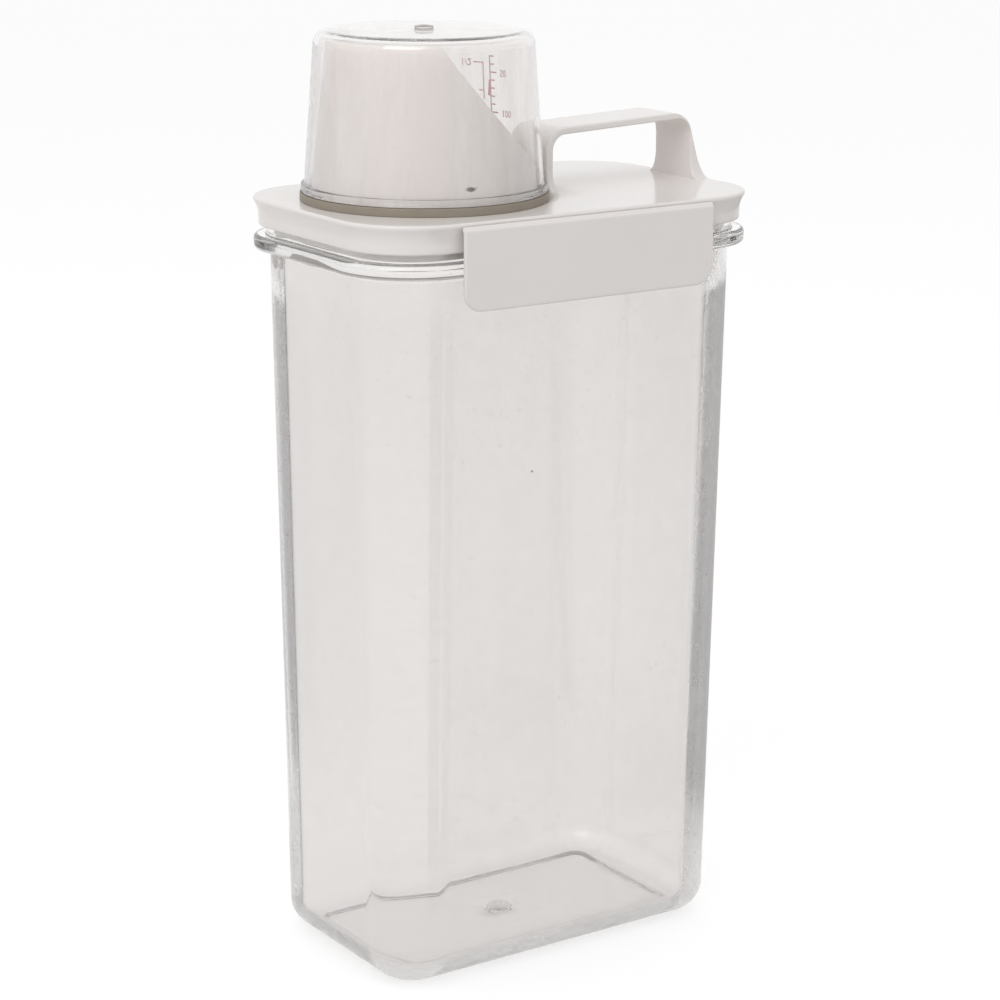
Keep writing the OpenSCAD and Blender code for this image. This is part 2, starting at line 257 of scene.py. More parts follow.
def painted_shade_recess_edge():
    """The edge of the recess under the clear floor: from the air side it is painted shade, a dark matt grey
    that draws a thin dark line there, and from inside the plastic it stays clear."""
    material, tree, output, place = new_material("mould_edge_styrene")
    shade_grain = add(tree, "TexNoise", {"Vector": place, "Scale": per_m(1.5), "Detail": 3.0})
    # Painted shade: dark grey tones for the recess wall's air side
    tone = add(tree, "Mix", {
        0: shade_grain.outputs["Fac"], 6: srgb("#15181B"), 7: srgb("#34393D")}, data_type="RGBA")
    painted_shade = add(tree, "BsdfPrincipled", {
        "Base Color": tone.outputs[2], "IOR": STYRENE_IOR, "Roughness": 0.6})
    clear = add(tree, "BsdfPrincipled", {
        "Base Color": srgb("#FBFAF9"), "IOR": STYRENE_IOR, "Roughness": 0.03, "Transmission Weight": 1.0})
    side = add(tree, "NewGeometry").outputs["Backfacing"]
    both = add(tree, "MixShader", {0: side, 1: painted_shade.outputs[0], 2: clear.outputs[0]})
    tree.links.new(both.outputs[0], output.inputs["Surface"])
    return material


def frosted_styrene():
    """The gate mark on the clear floor, left dull where the runner was cut off: frosted and faintly grey."""
    material, tree, output, place = new_material("frosted_gate_styrene")
    grain = add(tree, "TexNoise", {"Vector": place, "Scale": per_m(0.8), "Detail": 2.0})
    rough = add(tree, "MapRange", {0: grain.outputs["Fac"], 1: 0.3, 2: 0.7, 3: 0.25, 4: 0.42})
    shader = add(tree, "BsdfPrincipled", {
        "Base Color": srgb("#E9E6E4"), "IOR": STYRENE_IOR, "Roughness": rough.outputs[0],
        "Transmission Weight": 0.8})
    tree.links.new(shader.outputs[0], output.inputs["Surface"])
    return material


# The dried drip: its middle, and how many of its half sizes make a metre
DRIP_MIDDLE = (-0.0351, -0.03487, 0.2587)
DRIP_PER_M = (380.0, 380.0, 1050.0)


def white_polypropylene():
    """Moulded white polypropylene: warm white, glossy, with faint slow sink marks and a little uneven
    yellowing; one dried drip on the spout, as the used object has."""
    material, tree, output, place = new_material("white_polypropylene")
    cloud = add(tree, "TexNoise", {"Vector": place, "Scale": per_m(40), "Detail": 3.0})
    tone = add(tree, "Mix", {
        0: cloud.outputs["Fac"], 6: srgb("#EBE6E3"), 7: srgb("#F1ECE9")}, data_type="RGBA")
    off = add(tree, "VectorMath", {0: place, 1: DRIP_MIDDLE}, operation="SUBTRACT")
    stretch = add(tree, "Mapping", {"Vector": off.outputs[0], "Scale": DRIP_PER_M})
    ragged = add(tree, "TexNoise", {"Vector": place, "Scale": per_m(1.2), "Detail": 3.0})
    length = add(tree, "VectorMath", {0: stretch.outputs[0]}, operation="LENGTH")
    edge = add(tree, "Math", {0: length.outputs["Value"], 1: ragged.outputs["Fac"]}, operation="ADD")
    drip = add(tree, "MapRange", {0: edge.outputs[0], 1: 1.35, 2: 1.05, 3: 0.0, 4: 1.0})
    stain_and_shade = add(tree, "Mix", {0: drip.outputs[0], 6: tone.outputs[2], 7: srgb("#51432A")}, data_type="RGBA")
    sink = add(tree, "TexNoise", {"Vector": place, "Scale": per_m(18), "Detail": 1.0})
    rough = add(tree, "MapRange", {0: cloud.outputs["Fac"], 1: 0.3, 2: 0.7, 3: 0.12, 4: 0.19})
    bump = add(tree, "Bump", {"Strength": 0.06, "Distance": 0.0005, "Height": sink.outputs["Fac"]})
    shader = add(tree, "BsdfPrincipled", {
        "Base Color": stain_and_shade.outputs[2], "IOR": 1.49, "Roughness": rough.outputs[0],
        "Normal": bump.outputs[0]})
    tree.links.new(shader.outputs[0], output.inputs["Surface"])
    return material


def silicone(name, dark, light, roughness, shade_z=None):
    """Moulded silicone rubber: matt, slightly mottled with dust and wear; above the given height, in metres,
    the top is darkened: a painted shadow line where the cup's rim sits on it."""
    material, tree, output, place = new_material(name)
    cloud = add(tree, "TexNoise", {"Vector": place, "Scale": per_m(6), "Detail": 4.0, "Roughness": 0.6})
    tone = add(tree, "Mix", {0: cloud.outputs["Fac"], 6: srgb(dark), 7: srgb(light)}, data_type="RGBA")
    bump = add(tree, "Bump", {"Strength": 0.2, "Distance": 0.0001, "Height": cloud.outputs["Fac"]})
    shader = add(tree, "BsdfPrincipled", {
        "Base Color": tone.outputs[2], "IOR": 1.41, "Roughness": roughness, "Normal": bump.outputs[0]})
    if shade_z:
        # Painted shadow: above the given height the top turns dark brown-grey, under the cup's rim
        height = add(tree, "SeparateXYZ", {0: place}).outputs["Z"]
        shaded_top = add(tree, "MapRange", {0: height, 1: shade_z, 2: shade_z + 0.0002, 3: 0.0, 4: 1.0})
        stain_and_shade = add(tree, "Mix", {
            0: shaded_top.outputs[0], 6: tone.outputs[2], 7: srgb("#5E5448")}, data_type="RGBA")
        tree.links.new(stain_and_shade.outputs[2], shader.inputs["Base Color"])
    tree.links.new(shader.outputs[0], output.inputs["Surface"])
    return material


def print_ink(name, dark, light):
    """Screen-printed ink, worn thin: uneven and a little faded."""
    material, tree, output, place = new_material(name)
    worn = add(tree, "TexNoise", {"Vector": place, "Scale": per_m(1.4), "Detail": 3.0})
    tone = add(tree, "Mix", {0: worn.outputs["Fac"], 6: srgb(dark), 7: srgb(light)}, data_type="RGBA")
    shader = add(tree, "BsdfPrincipled", {
        "Base Color": tone.outputs[2], "IOR": 1.5, "Roughness": 0.5})
    tree.links.new(shader.outputs[0], output.inputs["Surface"])
    return material


# Marks on the clear plastic: middle and radius in metres, and colour
WALL_SPECK = ((-0.0165, -0.0417, 0.1688), 0.0008, "#4E4842")
NUB_STAIN = ((SPOUT_X * MM, 0.0, (CUP_TOP + NUB_H) * MM), 0.0031, "#978C6E")
BODY_STYRENE = clear_styrene("clear_styrene_body", "#F1EFEE", 0.009, 0.030, 0.016, mark=WALL_SPECK)
BASE_STYRENE = clear_styrene("clear_styrene_base", "#F2F0EF", 0.02, 0.04, 0.01, blur=(0.16, 0.22))
RIM_STYRENE = clear_styrene("clear_styrene_rim", "#FDFCFB", 0.0, 0.004, 0.01)
CUP_STYRENE = clear_styrene("clear_styrene_cup", "#F6F4F3", 0.0, 0.008, 0.01, streaks=0.22, mark=NUB_STAIN,
                            shade="#F4F4F4")
CUP_EDGE_STYRENE = clear_styrene("clear_styrene_cup_edge", "#F8F6F5", 0.0, 0.01, 0.0, blur=(0.05, 0.08))
PAINTED_SHADE_RECESS_EDGE = painted_shade_recess_edge()
GATE_FROST = frosted_styrene()
WHITE_PP = white_polypropylene()
# The seal's top 0.3 mm is darkened: a painted shadow line under the cup's rim
SEAL_SILICONE = silicone("grey_seal_silicone", "#8F8578", "#A0978A", 0.55, (SEAL_TOP - 0.3) * MM)
GASKET_SILICONE = silicone("translucent_gasket_silicone", "#DCD9D2", "#EAE8E2", 0.45)
RED_INK = print_ink("red_print_ink", "#C2485A", "#E58E98")
PINK_INK = print_ink("pink_print_ink", "#DE5878", "#EE86A0")


# Shapes

# Where the points of the rings lie: the steps of a corner, and the stops along the long and short sides, as
# shares of half a side; two stops take in the end of the groove that a clip's bead turns in
CORNER_STEPS = 28
QUARTER = np.linspace(0.0, math.pi / 2, CORNER_STEPS + 1)
HALF_STRAIGHT = MOUTH_L / 2 - MOUTH_R
GROOVE_END = CLIP_L / 2 + 0.3
GROOVE_STOPS = [(GROOVE_END + 0.1) / HALF_STRAIGHT, GROOVE_END / HALF_STRAIGHT]
LONG_STOPS = np.array([0.985, *GROOVE_STOPS, 0.75, 0.5, 0.25])
SHORT_STOPS = np.array([0.965, 0.7, 0.3])
LONG_SHARES = (1 - np.concatenate([LONG_STOPS, [0.0], -LONG_STOPS[::-1]])) / 2
SHORT_SHARES = (1 - np.concatenate([SHORT_STOPS, -SHORT_STOPS[::-1]])) / 2


def skin(name, grids, material, around=False, poles=(None, None)):
    """One mesh of closed grids in millimetres: quads join each point to the next in its row and to the next
    row, and each row's end to its start. The rows close on themselves if around, else each end closes in
    a fan on its pole, or in one flat face. The signed volume, the sum of a . (b x c) / 6 over
    the faces' triangles, turns each grid's faces outwards."""
    points, faces, base = [], [], 0
    for grid in grids:
        rows, cols = grid.shape[:2]
        j = np.arange(cols)
        turn = (j + 1) % cols
        i = np.arange(rows if around else rows - 1)[:, None]
        after = (i + 1) % rows
        quads = np.stack([i * cols + j, i * cols + turn, after * cols + turn, after * cols + j], -1)
        made = quads.reshape(-1, 4).tolist()
        spots = grid.reshape(-1, 3)
        if not around:
            last = (rows - 1) * cols
            if poles[0] is None:
                made.append(j[::-1].tolist())
            else:
                made += np.stack([np.full(cols, len(spots)), turn, j], -1).tolist()
                spots = np.vstack([spots, poles[0]])
            if poles[1] is None:
                made.append((last + j).tolist())
            else:
                made += np.stack([last + j, last + turn, np.full(cols, len(spots))], -1).tolist()
                spots = np.vstack([spots, poles[1]])
        fans = [[f[0], f[k], f[k + 1]] for f in made for k in range(1, len(f) - 1)]
        a, b, c = spots[np.array(fans).T]
        if np.einsum("ij,ij->i", a, np.cross(b, c)).sum() < 0:
            made = [f[::-1] for f in made]
        faces += [[v + base for v in f] for f in made]
        points.append(spots)
        base += len(spots)
    mesh = bpy.data.meshes.new(name)
    mesh.from_pydata((np.vstack(points) * MM).tolist(), [], faces)
    mesh.polygons.foreach_set("use_smooth", np.ones(len(faces), bool))
    mesh.materials.append(material)
    mesh.update()
    piece = bpy.data.objects.new(name, mesh)
    bpy.context.scene.collection.objects.link(piece)
    return piece


def paint(piece, material, faces):
    """Gives the faces of these numbers a material of their own."""
    piece.data.materials.append(material)
    index = np.zeros(len(piece.data.polygons), np.int32)
    piece.data.polygons.foreach_get("material_index", index)
    index[faces] = len(piece.data.materials) - 1
    piece.data.polygons.foreach_set("material_index", index)


def stand(piece, body, node=None):
    """Puts a piece on its body and the CAD node that it stands for."""
    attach(piece, body)
    if node:
        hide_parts(node)
    return piece


def bend(x, y, r, start, stop, count):
    """Points on a circle of radius r round (x, y), from one angle to another in degrees."""
    angle = np.radians(np.linspace(start, stop, count))
    return np.stack([x + r * np.cos(angle), y + r * np.sin(angle)], -1)


def round_ring(half_l, half_w, radius):
    """Rings of a rectangle with round corners, one a row: each corner is an arc round (half length less
    radius, half width less radius), and the straights run evenly from one arc's end to the next's start."""
    half_l, half_w, radius = (v[:, None] for v in np.broadcast_arrays(*np.atleast_1d(half_l, half_w, radius)))
    corners = []
    for k, (sx, sy) in enumerate(((1, 1), (-1, 1), (-1, -1), (1, -1))):
        angle = QUARTER + k * math.pi / 2
        x = sx * (half_l - radius) + radius * np.cos(angle)
        y = sy * (half_w - radius) + radius * np.sin(angle)
        corners.append(np.stack([x, y], -1))
    parts = []
    for k, shares in enumerate((LONG_SHARES, SHORT_SHARES, LONG_SHARES, SHORT_SHARES)):
        start = corners[k][:, -1:]
        stop = corners[(k + 1) % 4][:, :1]
        parts += [corners[k], start + (stop - start) * shares[:, None]]
    return np.concatenate(parts, 1)


def at_height(rings, z):
    """Rings in the plane lifted to a height for each row."""
    heights = np.broadcast_to(np.asarray(z, float)[:, None, None], (*rings.shape[:2], 1))
    return np.concatenate([rings, heights], -1)


def wall_row(z, inset, fill=0.0):
    """Half length, half width, corner radius and height of the tapered walls' outline, drawn in by inset,
    with its corners rounder by fill: each runs straight from its value at the underside to its value at
    the mouth."""
    share = z / BODY_H
    half_l = (BASE_L + (MOUTH_L - BASE_L) * share) / 2 - inset
    half_w = (BASE_W + (MOUTH_W - BASE_W) * share) / 2 - inset
    radius = BASE_R + (MOUTH_R - BASE_R) * share - inset + fill
    return np.stack(np.broadcast_arrays(half_l, half_w, radius, z), -1)


def mouth_row(profile):
    """Half length, half width, corner radius and height of the mouth's outline moved out by each profile
    point's first value, at its second."""
    out, z = np.asarray(profile, float).T
    return np.stack([MOUTH_L / 2 + out, MOUTH_W / 2 + out, MOUTH_R + out, z], -1)


def container_shape():
    """One closed stack of rings: from the gate mark over the floor, up the inside, over the neck's rim, round
    the flange, down the outside, under the foot ring and into the shallow recess."""
    top = FLOOR_T + GATE_H
    gate = np.array([
        [1.5, top - 0.1], [2.6, top], [3.3, top], [3.7, top - 0.1], [3.95, top - 0.28],
        [GATE_R + 0.15, FLOOR_T + 0.12], [GATE_R + 0.5, FLOOR_T]])
    gate = np.stack([gate[:, 0], gate[:, 0], 0.97 * gate[:, 0], gate[:, 1]], -1)
    turn = np.radians(np.linspace(0, 90, 13))
    in_r = BASE_FILLET - WALL
    inner = wall_row(FLOOR_T + in_r * (1 - np.cos(turn)), WALL + in_r * (1 - np.sin(turn)), CORNER_FILL)
    spread = np.array([0.12, 0.4, 0.7, 0.93, 0.985])[:, None]
    floor = gate[-1] + (inner[0] - gate[-1]) * spread
    inside = wall_row(np.linspace(FLOOR_T + in_r + 1, BODY_H - 1, 14), WALL, CORNER_FILL)
    step_z = BODY_H + FLANGE_T / 2
    neck_in = NECK_OUT - WALL
    rim = WALL / 4
    neck = mouth_row(np.vstack([
        [[-WALL, BODY_H + 0.3], [-WALL, step_z - 0.7]],
        bend(-WALL + 0.4, step_z - 0.4, 0.4, 180, 90, 5),
        bend(neck_in - 0.3, step_z + 0.3, 0.3, 270, 360, 5),
        [[neck_in, step_z + 0.8], [neck_in, NECK_TOP - 1]],
        bend(neck_in + rim, NECK_TOP - rim, rim, 180, 90, 7),
        bend(NECK_OUT - rim, NECK_TOP - rim, rim, 90, 0, 7),
        [[NECK_OUT, NECK_TOP - 1], [NECK_OUT, FLANGE_TOP + 1]],
        bend(NECK_OUT + 0.6, FLANGE_TOP + 0.6, 0.6, 180, 270, 6),
        [[NECK_OUT + 1, FLANGE_TOP], [FLANGE_OUT - FLANGE_EDGE - 0.4, FLANGE_TOP]],
        bend(FLANGE_OUT - FLANGE_EDGE, FLANGE_TOP - FLANGE_EDGE, FLANGE_EDGE, 90, 0, 9),
        [[FLANGE_OUT, BODY_H + FLANGE_T / 2]],
        bend(FLANGE_OUT - FLANGE_EDGE, BODY_H + FLANGE_EDGE, FLANGE_EDGE, 0, -90, 9),
        [[FLANGE_OUT - FLANGE_EDGE - 0.4, BODY_H], [1.3, BODY_H]],
        bend(0.8, BODY_H - 0.8, 0.8, 90, 180, 6)]))
    rows_below_step = 7
    neck[:rows_below_step, 2] += CORNER_FILL
    outside = wall_row(np.linspace(BODY_H - 1.6, BASE_FILLET + 1, 14), 0.0)
    turn = turn[::-1]
    fillet = wall_row(BASE_FILLET * (1 - np.cos(turn)), BASE_FILLET * (1 - np.sin(turn)))
    foot = fillet[-1]
    drawn = np.array([-1.0, -1.0, -0.5, 0.0])
    recess = foot + FOOT_W * drawn
    up = np.array([0.0, 0.0, 0.0, 1.0])
    nick = RECESS_NICK
    under = np.array([
        foot + 0.5 * drawn, recess - nick * drawn, recess + nick * up, recess + (RECESS_D - nick) * up,
        recess + nick * drawn + RECESS_D * up, recess + 1.5 * drawn + RECESS_D * up])
    middle = np.array([4.0, 4.0, 3.9, RECESS_D])
    ceiling = under[-1] + (middle - under[-1]) * np.array([0.3, 0.7, 1.0])[:, None]
    rows = np.vstack([gate, floor, inner, inside, neck, outside, fillet, under, ceiling])
    grid = at_height(round_ring(*rows[:, :3].T), rows[:, 3])
    piece = skin("container_shell", [grid], BODY_STYRENE, poles=((0, 0, top - 0.2), (0, 0, RECESS_D)))
    faces = np.arange(len(rows) * grid.shape[1]).reshape(len(rows), -1)
    recess_wall = len(rows) - len(ceiling) - 4
    inner_start = len(gate) + len(floor)
    neck_start = inner_start + len(inner) + len(inside)
    fillet_start = neck_start + len(neck) + len(outside)
    gate_top = 4
    # The recess's wall takes the painted shade: dark matt grey from the air side
    paint(piece, PAINTED_SHADE_RECESS_EDGE, faces[recess_wall])
    paint(piece, RIM_STYRENE, faces[neck_start:neck_start + len(neck)])
    paint(piece, GATE_FROST, faces[np.r_[:gate_top, len(rows) - 1]])
    paint(piece, BASE_STYRENE, faces[np.r_[
        inner_start:inner_start + len(inner), fillet_start:fillet_start + len(fillet) + 1]])
    return piece


def lid_shell():
    """One ring of rings: from the round hole under the spout over the flat top, round the lid's edge, down
    its flare and skirt, up the channel, round the plug and back under the top to the hole. Along the clips
    the edge is drawn in to the circle of the groove that the clip's bead turns in."""
    edge = SKIRT_WALL / 3
    plug_edge = 0.53
    flare_z = LID_TOP - LIP_H - FLARE_H
    flare_r = (FLARE_H ** 2 + FLARE ** 2) / (2 * FLARE)
    flare_turn = math.degrees(math.asin(FLARE_H / flare_r))
    profile = np.vstack([
        [[PLATE_EDGE, LID_TOP], [LID_OUT - LIP_R - 1.5, LID_TOP], [LID_OUT - LIP_R - 0.5, LID_TOP]],
        bend(LID_OUT - LIP_R, LID_TOP - LIP_R, LIP_R, 90, 0, 9),
        [[LID_OUT, LID_TOP - LIP_H + 0.2]],
        bend(SKIRT_OUT + flare_r, flare_z, flare_r, 180 - 0.96 * flare_turn, 180, 16),
        [[SKIRT_OUT, flare_z - 0.5], [SKIRT_OUT, SKIRT_BOTTOM + 1.4]],
        bend(SKIRT_OUT - edge, SKIRT_BOTTOM + edge, edge, 0, -90, 7),
        bend(SKIRT_IN + 0.2, SKIRT_BOTTOM + 0.2, 0.2, 270, 180, 4),
        [[SKIRT_IN, SKIRT_BOTTOM + 1], [SKIRT_IN, PLATE_UNDER - 0.3], [SKIRT_IN - 0.1, PLATE_UNDER]],
        [[PLUG_OUT + 0.1, PLATE_UNDER], [PLUG_OUT, PLATE_UNDER - 0.3], [PLUG_OUT, PLUG_BOTTOM + 1.2]],
        bend(PLUG_OUT - plug_edge, PLUG_BOTTOM + plug_edge, plug_edge, 0, -90, 6),
        bend(PLUG_IN + 0.3, PLUG_BOTTOM + 0.3, 0.3, 270, 180, 4),
        [[PLUG_IN, PLUG_BOTTOM + 1], [PLUG_IN, PLATE_UNDER - 0.4], [PLUG_IN - 0.4, PLATE_UNDER]],
        [[PLATE_EDGE, PLATE_UNDER]]])
    rows = mouth_row(profile)
    grid = at_height(round_ring(*rows[:, :3].T), rows[:, 3])
    x, y, z = grid[..., 0], grid[..., 1], grid[..., 2]
    lift = np.abs(z - CLIP_AXIS_Z)
    chord = CLIP_IN_Y - np.sqrt(np.clip(GROOVE_R ** 2 - lift ** 2, 0, None))
    beside = (np.abs(x) < GROOVE_END + 0.05) & (lift < GROOVE_R) & (profile[:, 0] > SKIRT_OUT)[:, None]
    grid[..., 1] = np.where(beside, np.sign(y) * np.minimum(np.abs(y), chord), y)
    away = np.arctan2(grid[0, :, 1], grid[0, :, 0] - SPOUT_X)
    hole_r = SPOUT_BASE_R - SPOUT_WALL / 2
    hole = np.stack([SPOUT_X + hole_r * np.cos(away), hole_r * np.sin(away)], -1)
    hole = at_height(np.stack([hole, hole]), [PLATE_UNDER, LID_TOP])
    near = hole[1:] + (grid[:1] - hole[1:]) * np.array([0.3, 0.7])[:, None, None]
    return skin("lid_shell", [np.concatenate([hole, near, grid])], WHITE_PP, around=True)


def spout_r(z):
    """Outer radius of the spout's cone at a height, straight from its base to its tip."""
    return SPOUT_BASE_R + (SPOUT_TOP_R - SPOUT_BASE_R) * (z - LID_TOP) / SPOUT_H


def cup_r(z):
    """Inner radius of the cup's cone: the spout's radius and a gap that widens evenly to the tip."""
    share = (z - LID_TOP) / SPOUT_H
    return spout_r(z) + CUP_GAP_RIM + (CUP_GAP_TIP - CUP_GAP_RIM) * share


def lip_height(angle):
    """Height of the spout's lip: the lower of the tip and the scoop's circle,
    z = zc - sqrt(R^2 - (x - xc)^2), blended over about a millimetre, with x on the cone at that height,
    which a few rounds settle."""
    centre_x = SPOUT_X - SCOOP_START + SCOOP_R * math.sin(SCOOP_ANGLE)
    centre_z = SPOUT_TIP + SCOOP_R * math.cos(SCOOP_ANGLE)
    blend = 1.0
    rounds = 30
    z = np.full_like(angle, SPOUT_TIP)
    for _ in range(rounds):
        x = SPOUT_X + (spout_r(z) - SPOUT_WALL / 2) * np.cos(angle)
        cut = centre_z - np.sqrt(SCOOP_R ** 2 - (x - centre_x) ** 2)
        low = np.minimum(SPOUT_TIP, cut)
        gap = np.clip(blend - np.abs(SPOUT_TIP - cut), 0, None)
        z = low - gap ** 2 / (4 * blend)
    return z


def spout_shape():
    """A conical tube cut by the scoop: the outside up to the lip, a round lip as wide as the wall, and the
    inside back down; each row takes the same share of every column's own height."""
    angle = np.linspace(0, 2 * math.pi, 240, endpoint=False)
    half = SPOUT_WALL / 2
    crest = lip_height(angle) - half
    shares = np.array([0, 0.03, 0.1, 0.25, 0.4, 0.55, 0.7, 0.85, 0.94, 0.985])[:, None]
    z_up = PLATE_UNDER + 0.2 + (crest - PLATE_UNDER - 0.2) * shares
    turn = np.radians(np.linspace(0, 180, 11))[:, None]
    z_lip = crest + half * np.sin(turn)
    r_lip = spout_r(crest) - half + half * np.cos(turn)
    z = np.concatenate([z_up, z_lip, z_up[::-1]])
    r = np.concatenate([spout_r(z_up), r_lip, spout_r(z_up[::-1]) - SPOUT_WALL])
    grid = np.stack([SPOUT_X + r * np.cos(angle), r * np.sin(angle), z], -1)
    return skin("pouring_spout", [grid], WHITE_PP, around=True)


def turned(profile, count=200):
    """A profile of radius and height turned once round the spout's axis."""
    r, z = np.asarray(profile, float).T[..., None]
    angle = np.linspace(0, 2 * math.pi, count, endpoint=False)
    return np.stack(np.broadcast_arrays(SPOUT_X + r * np.cos(angle), r * np.sin(angle), z), -1)


def cup_shape():
    """A turned cup, mouth down: its gate nub, closed end, rounded edge, tapered wall, rim band and inside."""
    edge_z = CUP_TOP - CUP_EDGE
    edge_r = cup_r(edge_z) + CUP_WALL - CUP_EDGE
    in_edge = CUP_EDGE - CUP_WALL
    rim_top = SEAL_TOP + CUP_RIM_H
    wall_z = np.linspace(edge_z - 0.8, rim_top + 1.2, 8)
    in_z = np.linspace(SEAL_TOP + 0.9, edge_z - 0.8, 8)
    nub_top = CUP_TOP + NUB_H
    end_in = CUP_TOP - CUP_WALL
    rim_wall = cup_r(rim_top) + CUP_WALL
    groove_z = SEAL_TOP + CUP_RIM_H / 2
    profile = np.vstack([
        [[0.7, nub_top - 0.3], [1.5, nub_top - 0.12], [2.1, nub_top]],
        bend(NUB_R - 0.4, nub_top - 0.4, 0.4, 90, 0, 6),
        [[NUB_R, CUP_TOP + 0.4]],
        bend(NUB_R + 0.3, CUP_TOP + 0.3, 0.3, 180, 270, 5),
        [[NUB_R + 1.2, CUP_TOP], [12.0, CUP_TOP], [22.0, CUP_TOP], [edge_r - 0.8, CUP_TOP]],
        bend(edge_r, edge_z, CUP_EDGE, 90, 0, 15),
        np.stack([cup_r(wall_z) + CUP_WALL, wall_z], -1),
        bend(rim_wall + 0.35, rim_top + 0.35, 0.35, 180, 270, 5),
        bend(CUP_RIM_R - 0.25, rim_top - 0.25, 0.25, 90, 0, 5),
        [[CUP_RIM_R, groove_z + 0.3], [CUP_RIM_R - RIM_GROOVE_D, groove_z + 0.08]],
        [[CUP_RIM_R - RIM_GROOVE_D, groove_z - 0.08], [CUP_RIM_R, groove_z - 0.3]],
        bend(CUP_RIM_R - 0.3, SEAL_TOP + 0.3, 0.3, 0, -90, 5),
        bend(cup_r(SEAL_TOP) + 0.3, SEAL_TOP + 0.3, 0.3, 270, 180, 5),
        np.stack([cup_r(in_z), in_z], -1),
        bend(edge_r, edge_z, in_edge, 0, 90, 11),
        [[edge_r - 0.8, end_in], [20.0, end_in], [8.0, end_in], [1.5, end_in]]])
    ends = ((SPOUT_X, 0, nub_top - 0.35), (SPOUT_X, 0, end_in))
    grid = turned(profile)
    piece = skin("measuring_cup_shell", [grid], CUP_STYRENE, poles=ends)
    r, z = profile.T
    soft = (r > edge_r - 1.0) & (z > edge_z - 0.5)
    paint(piece, CUP_EDGE_STYRENE, np.flatnonzero(np.repeat(soft[:-1] & soft[1:], grid.shape[1])))
    return piece


def seal_shape():
    """A turned ring, flat below, with a round upper outer edge."""
    outer = SEAL_HIGH[0] - SPOUT_X
    inner = SPOUT_BASE_R + 0.3
    profile = np.vstack([
        bend(inner + 0.25, SEAL_TOP - 0.25, 0.25, 180, 90, 4),
        [[outer - 1.4, SEAL_TOP]],
        bend(outer - 0.7, SEAL_TOP - 0.7, 0.7, 90, 0, 8),
        [[outer, LID_TOP + 0.8]],
        bend(outer - 0.3, LID_TOP + 0.3, 0.3, 0, -90, 5),
        [[inner, LID_TOP]]])
    return skin("spout_seal_ring", [turned(profile)], SEAL_SILICONE, around=True)


def clip_shape(name, side):
    """The clip's section carried along the lid: a plate with a round shoulder that runs into the bead, and a
    catch rib inside. Near the ends the lower edge lifts along an arc of the corner radius, the points
    between it and the rib close up evenly, and the last of the thickness is rounded off."""
    rib_top = BODY_H - 0.3
    front_top = CLIP_AXIS_Z - 0.75
    section = np.vstack([
        bend(0.4, CLIP_BOTTOM + 0.4, 0.4, 180, 270, 5),
        bend(CLIP_T - 0.7, CLIP_BOTTOM + 0.7, 0.7, 270, 360, 7),
        np.stack([np.full(7, CLIP_T), np.linspace(CLIP_BOTTOM + 1.2, front_top - 0.5, 7)], -1),
        bend(0.7, front_top, 0.8, 0, 70, 7),
        bend(0, CLIP_AXIS_Z, CLIP_BEAD_R, 40, 250, 15),
        [[0, front_top - 0.3], [0, front_top - 1.5], [0, rib_top + 0.8], [0, rib_top + 0.2]],
        [[-RIB_OUT + 0.15, rib_top], [-RIB_OUT, rib_top - 0.2], [-RIB_OUT, rib_top - 2.2]],
        [[-RIB_OUT + 0.15, rib_top - 2.5], [0, rib_top - 2.9], [0, rib_top - 3.6], [0, CLIP_BOTTOM + 1.2]]])
    turn = np.radians(np.linspace(0, 90, 15))
    tail = CLIP_L / 2 - CLIP_CORNER + CLIP_CORNER * np.sin(turn)
    plain = np.linspace(-0.9, 0.9, 7) * (CLIP_L / 2 - CLIP_CORNER)
    x = np.concatenate([-tail[::-1], plain, tail])[:, None]
    past = np.clip((np.abs(x) - CLIP_L / 2 + CLIP_CORNER) / CLIP_CORNER, 0, 1)
    rise = CLIP_CORNER * (1 - np.sqrt(1 - past ** 2))
    out, z = section.T[:, None, :]
    pull = np.clip((rib_top - 1.4 - z) / (rib_top - 1.4 - CLIP_BOTTOM - 1.2), 0, 1)
    round_end = 0.4
    spent = np.clip((np.abs(x) - CLIP_L / 2 + round_end) / round_end, 0, 1)
    thin = 1 - round_end * (1 - np.sqrt(1 - spent ** 2)) / (CLIP_T / 2)
    y = side * (CLIP_IN_Y + CLIP_T / 2 + (out - CLIP_T / 2) * thin)
    grid = np.stack(np.broadcast_arrays(x, y, z + rise * pull), -1)
    return skin(name, [grid], WHITE_PP)


